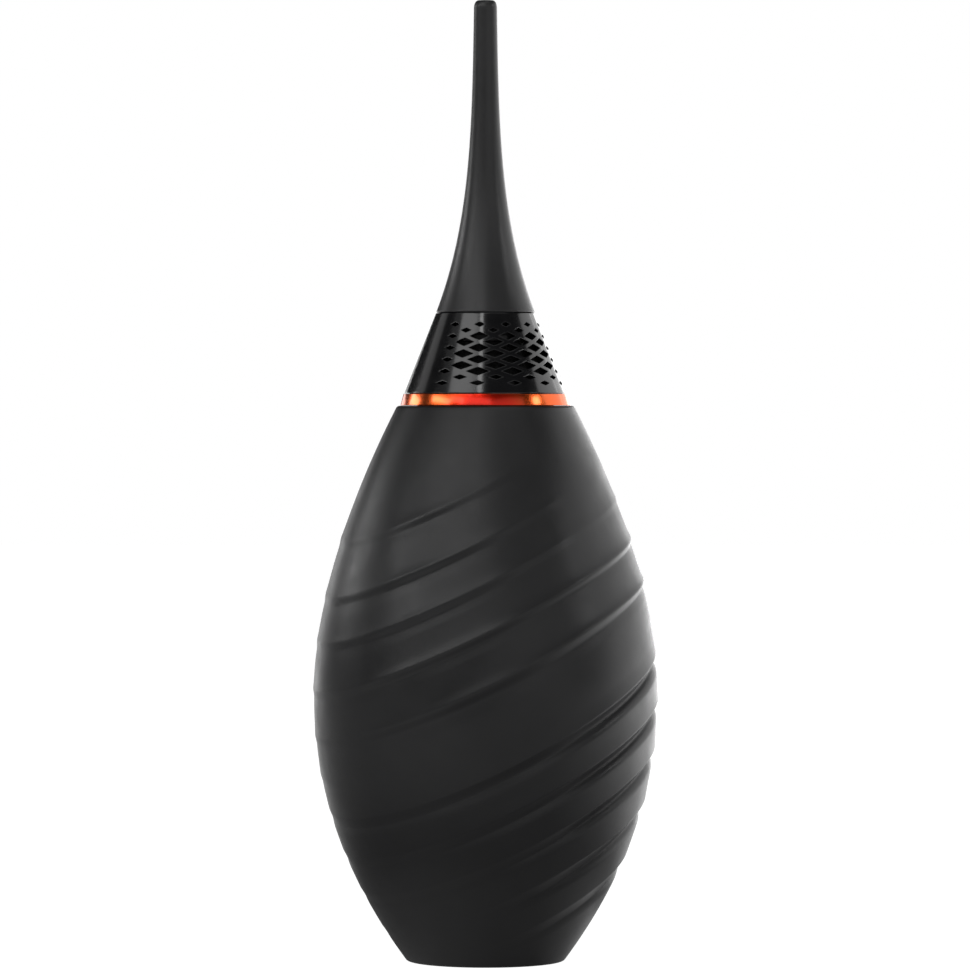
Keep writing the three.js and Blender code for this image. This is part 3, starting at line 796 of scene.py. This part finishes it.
def make_collar():
    holes = list(diamonds())
    low, high = COLLAR_BOTTOM + COLLAR_EDGE, COLLAR_TOP - COLLAR_EDGE
    plate_bottom = COLLAR_TOP - COLLAR_WALL
    grid_angles = COLLAR_SEAM_DEG + COLLAR_STEP_DEG * np.arange(COLLAR_COLUMNS + 1)
    plane, triangles, rims = collar_sheet(holes, grid_angles, np.linspace(low, high, COLLAR_ROWS))

    outer = collar_points(plane, 0)
    inner = collar_points(under_plate(plane, plate_bottom), COLLAR_WALL)
    vertices = [*outer.tolist(), *inner.tolist()]
    size = len(plane)
    faces = [tuple(int(i) for i in t) for t in triangles]
    faces += [tuple(int(i) + size for i in reversed(t)) for t in triangles]
    for hole, rim in zip(holes, rims):
        hole_wall(vertices, faces, hole, rim, [i + size for i in rim])

    inner_bottom = collar_radius(COLLAR_BOTTOM) - COLLAR_WALL
    lip_bottom = RING_TOP + COLLAR_LIP_GAP
    bottom = rounded([
        (collar_radius(low), low),
        (COLLAR_BOTTOM_RADIUS, COLLAR_BOTTOM, 0.09),
        (COLLAR_LIP_RADIUS, COLLAR_BOTTOM),
        (COLLAR_LIP_RADIUS, lip_bottom),
        (inner_bottom, lip_bottom, 0.03),
        (inner_bottom, low),
    ])[1:-1]
    lid = rounded([
        (collar_radius(high), high),
        (COLLAR_TOP_RADIUS, COLLAR_TOP, 0.16),
        (COLLAR_HOLE, COLLAR_TOP, 0.15),
        (COLLAR_HOLE, plate_bottom, 0.15),
        (collar_radius(plate_bottom) - COLLAR_WALL - PLATE_INNER_EDGE, plate_bottom),
    ])[1:]
    angles = np.radians(grid_angles[:-1])
    for edge, outline in ((low, bottom), (high, lid)):
        ring = edge_ring(plane, edge)
        close_edge(vertices, faces, angles, ring, outline, [i + size for i in ring])
    piece = new_piece("intake_collar_shell", vertices, faces, GLOSS)
    close_seam(piece.data)
    stands_for(piece, "head", "gloss_black", "intake_collar")


def close_seam(mesh):
    """Joins the two ends of the rolled-up sheet, and turns all faces outwards."""
    work = bmesh.new()
    work.from_mesh(mesh)
    bmesh.ops.remove_doubles(work, verts=work.verts, dist=SEAM_DISTANCE)
    loose = [v for v in work.verts if not v.link_faces]
    bmesh.ops.delete(work, geom=loose, context="VERTS")
    bmesh.ops.recalc_face_normals(work, faces=work.faces)
    work.to_mesh(mesh)
    work.free()
    smooth(mesh)


make_collar()

# ---------------------------------------------------------------- finer parts inside the head

FINE_SEGMENTS = 144
O_RING_STEPS = 24


def finer(name, body, node, outline):
    """A smoother version of a turned CAD part, with the part's own finish."""
    slot = SLOTS[node]
    piece = new_piece(name, *revolve(outline[:, 0], outline[:, 1], FINE_SEGMENTS), SLOT_MATERIALS[slot])
    stands_for(piece, body, slot, node)


def o_ring(name, body, node):
    """A smooth O-ring of the size of its CAD node."""
    low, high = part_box(node)
    section = (high.z - low.z) / 2 / MM
    height = (high.z + low.z) / 2 / MM
    radius = high.x / MM - section
    turn = np.linspace(-math.pi / 2, 3 * math.pi / 2, O_RING_STEPS, endpoint=False)
    outline = np.stack([radius + section * np.cos(turn), height + section * np.sin(turn)], axis=1)
    finer(name, body, node, outline)


def make_spigot():
    low, high = (corner.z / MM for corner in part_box("nozzle_spigot"))
    flange_top = COLLAR_TOP - COLLAR_WALL - FACE_GAP
    finer("spigot_turned", "head", "nozzle_spigot", rounded([
        (CHAMBER_RADIUS, low, 0.1),
        (SPIGOT_FLANGE_RADIUS, low, 0.15),
        (SPIGOT_FLANGE_RADIUS, flange_top, 0.15),
        (SPIGOT_RADIUS, flange_top, 0.15),
        (SPIGOT_RADIUS, SNAP_BEAD_HEIGHT - SNAP_BEAD_HALF_WIDTH, 0.15),
        (SPIGOT_RADIUS + SNAP_BEAD_RISE, SNAP_BEAD_HEIGHT, 0.25),
        (SPIGOT_RADIUS, SNAP_BEAD_HEIGHT + SNAP_BEAD_HALF_WIDTH, 0.1),
        (SPIGOT_RADIUS - SPIGOT_CHAMFER, high, 0.15),
        (SPIGOT_BORE, high, 0.2),
        (SPIGOT_BORE, CHAMBER_TOP, 0.1),
        (CHAMBER_RADIUS, CHAMBER_TOP, 0.1),
    ]))


def make_filter_sleeve():
    low, high = (corner.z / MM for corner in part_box("filter_sleeve"))
    behind_collar = COLLAR_WALL + SIDE_GAP
    bottom, top = collar_radius(low) - behind_collar, collar_radius(high) - behind_collar
    finer("filter_sleeve_foam", "head", "filter_sleeve", rounded([
        (bottom - SLEEVE_THICKNESS, low, 0.3),
        (bottom, low, 0.4),
        (top, high, 0.4),
        (top - SLEEVE_THICKNESS, high, 0.3),
    ]))


make_spigot()
make_filter_sleeve()
o_ring("nozzle_seal_ring", "head", "nozzle_seal")
o_ring("head_seal_ring", "head_seal", "head_seal")

# ---------------------------------------------------------------- carried-over CAD nodes

for name, node in frame["nodes"].items():
    node.data.materials.clear()
    node.data.materials.append(SLOT_MATERIALS[SLOTS[name]])
    smooth(node.data, CAD_SHARP_EDGE_DEG)

# ---------------------------------------------------------------- studio

# Azimuth, elevation in degrees; width and height in metres; brightness of the panel's face in W/m2/sr.
SOFTBOXES = {
    "left_glint": (-117, 14.5, 0.43, 0.15, 4.4),
    "left_key": (-67, 24, 0.56, 0.12, 4.8),
    "left_side": (-118, 28, 0.40, 0.26, 0.38),
    "left_rear": (-154, 2, 0.40, 0.24, 1.6),
    "left_broad": (-55, 50, 0.90, 0.50, 0.24),
    "head_strip": (-40, 41, 0.66, 0.27, 1.4),
    "head_strip_edge": (-10, 43, 0.12, 0.27, 3.2),
    "ring_mid": (-42, 27, 0.36, 0.13, 2.3),
    "ring_front": (-15, 27, 0.80, 0.18, 1.2),
    "front_right": (31, 14, 0.95, 0.62, 0.46),
    "front_top": (25, 64, 1.00, 0.50, 0.70),
    "right_glint": (77, 22, 0.22, 0.14, 6.0),
    "right": (112, 15, 0.80, 0.80, 1.05),
    "right_rear": (142, 8, 0.44, 0.60, 1.3),
    "right_rim": (162, 4, 0.40, 0.40, 2.7),
}
SOFTBOX_DISTANCE = 1.1
SOFTBOX_TARGET = (0, 0, 0.09)
# The room is white to the camera, and this bright to everything else.
DIM_ROOM = 0.02
FLOOR_SIZE = 6
FLOOR_CAMERA_GLOW = 1.0
# The floor's glow as the blower sees it: by azimuth, and by distance from the axis in metres. The dip close
# round the foot is a painted shadow of the blower on the floor.
FLOOR_GLOW_PEAK = 2.3
FLOOR_GLOW_BY_AZIMUTH = {
    -180: 0.6, -160: 0.6, -140: 0.2, -110: 0.08, -80: 0.12, -50: 0.2, -20: 0.2, 10: 0.12,
    40: 0.1, 75: 0.26, 95: 0.46, 117: 0.66, 148: 1.0, 165: 1.0, 180: 0.6,
}
FLOOR_GLOW_BY_DISTANCE = {
    0: 0.42, 0.035: 0.38, 0.05: 0.14, 0.065: 0.14, 0.1: 0.55, 0.18: 0.75, 0.42: 1.0, 0.6: 1.0,
}

# A long lens at ring height, tipped down to the middle of the blower. In metres.
CAMERA_DISTANCE = 1.0
CAMERA_HEIGHT = 0.1
CAMERA_SIDE = -0.00009
CAMERA_AIM_HEIGHT = 0.0859
VIEW_WIDTH = 0.1751335
SENSOR_WIDTH = 36


def softbox(name, azimuth_deg, elevation_deg, width, height, brightness):
    """A rectangular light that faces the middle of the blower."""
    azimuth, elevation = math.radians(azimuth_deg), math.radians(elevation_deg)
    away = Vector((
        math.sin(azimuth) * math.cos(elevation),
        -math.cos(azimuth) * math.cos(elevation),
        math.sin(elevation),
    ))
    data = bpy.data.lights.new(name, "AREA")
    data.shape = "RECTANGLE"
    data.size, data.size_y = width, height
    data.energy = brightness * math.pi * width * height
    light = bpy.data.objects.new(name, data)
    light.location = Vector(SOFTBOX_TARGET) + away * SOFTBOX_DISTANCE
    light.rotation_euler = (-away).to_track_quat("-Z", "Y").to_euler()
    light.visible_camera = False
    bpy.context.scene.collection.objects.link(light)


def camera_only(nodes, links, seen, otherwise):
    """One value for what the camera sees, and another for light and reflections."""
    path = nodes.new("ShaderNodeLightPath")
    mix = nodes.new("ShaderNodeMix")
    mix.inputs["B"].default_value = seen
    if isinstance(otherwise, float):
        mix.inputs["A"].default_value = otherwise
    else:
        links.new(otherwise, mix.inputs["A"])
    links.new(path.outputs["Is Camera Ray"], mix.inputs["Factor"])
    return mix.outputs["Result"]


def calculate(nodes, links, operation, first, second):
    """A math node. Its two inputs are sockets or numbers."""
    node = nodes.new("ShaderNodeMath")
    node.operation = operation
    for socket, value in zip(node.inputs, (first, second)):
        if isinstance(value, (int, float)):
            socket.default_value = value
        else:
            links.new(value, socket)
    return node.outputs["Value"]


def graph(nodes, links, source, values):
    """Looks up a socket's value in a table of results between 0 and 1."""
    first, last = min(values), max(values)
    place = nodes.new("ShaderNodeMapRange")
    place.inputs["From Min"].default_value = first
    place.inputs["From Max"].default_value = last
    ramp_node = nodes.new("ShaderNodeValToRGB")
    stops = ramp_node.color_ramp.elements
    for value, result in values.items():
        if value == first:
            stop = stops[0]
        elif value == last:
            stop = stops[-1]
        else:
            stop = stops.new((value - first) / (last - first))
        stop.color = (result, result, result, 1)
    links.new(source, place.inputs["Value"])
    links.new(place.outputs["Result"], ramp_node.inputs["Fac"])
    return ramp_node.outputs["Color"]


def floor_glow(nodes, links):
    """The floor's glow at each place, from the tables of azimuth and distance."""
    place = nodes.new("ShaderNodeTexCoord")
    split = nodes.new("ShaderNodeSeparateXYZ")
    links.new(place.outputs["Object"], split.inputs["Vector"])
    forward = calculate(nodes, links, "MULTIPLY", split.outputs["Y"], -1)
    azimuth = calculate(nodes, links, "ARCTAN2", split.outputs["X"], forward)
    azimuth_deg = calculate(nodes, links, "MULTIPLY", azimuth, math.degrees(1))
    distance = nodes.new("ShaderNodeVectorMath")
    distance.operation = "LENGTH"
    links.new(place.outputs["Object"], distance.inputs[0])
    by_azimuth = graph(nodes, links, azimuth_deg, FLOOR_GLOW_BY_AZIMUTH)
    by_distance = graph(nodes, links, distance.outputs["Value"], FLOOR_GLOW_BY_DISTANCE)
    both = calculate(nodes, links, "MULTIPLY", by_azimuth, by_distance)
    return calculate(nodes, links, "MULTIPLY", both, FLOOR_GLOW_PEAK)


def floor_material():
    """Pale paper. It glows evenly to the camera, and lights the blower mostly from behind on the right."""
    made, nodes, links, shader = material("floor_paper", (0.3, 0.3, 0.3), 1.0)
    shader.inputs["Specular IOR Level"].default_value = 0
    shader.inputs["Emission Color"].default_value = (1, 1, 1, 1)
    glow = camera_only(nodes, links, FLOOR_CAMERA_GLOW, floor_glow(nodes, links))
    links.new(glow, shader.inputs["Emission Strength"])
    return made


def make_floor():
    mesh = bpy.data.meshes.new("floor")
    half = FLOOR_SIZE / 2
    corners = [(-half, -half, 0), (half, -half, 0), (half, half, 0), (-half, half, 0)]
    mesh.from_pydata(corners, [], [(0, 1, 2, 3)])
    mesh.materials.append(floor_material())
    floor = bpy.data.objects.new("floor", mesh)
    bpy.context.scene.collection.objects.link(floor)


def make_room():
    world = bpy.data.worlds.new("studio")
    bpy.context.scene.world = world
    world.use_nodes = True
    nodes, links = world.node_tree.nodes, world.node_tree.links
    background = nodes["Background"]
    background.inputs["Color"].default_value = (1, 1, 1, 1)
    links.new(camera_only(nodes, links, 1.0, DIM_ROOM), background.inputs["Strength"])


def make_camera():
    data = bpy.data.cameras.new("camera")
    data.sensor_width = SENSOR_WIDTH
    data.lens = SENSOR_WIDTH * CAMERA_DISTANCE / VIEW_WIDTH
    camera = bpy.data.objects.new("camera", data)
    camera.location = (CAMERA_SIDE, -CAMERA_DISTANCE, CAMERA_HEIGHT)
    aim = Vector((CAMERA_SIDE, 0, CAMERA_AIM_HEIGHT))
    camera.rotation_euler = (aim - camera.location).to_track_quat("-Z", "Y").to_euler()
    bpy.context.scene.collection.objects.link(camera)
    bpy.context.scene.camera = camera


for name, settings in SOFTBOXES.items():
    softbox(name, *settings)
make_room()
make_floor()
make_camera()
bpy.context.scene.view_settings.view_transform = "Standard"
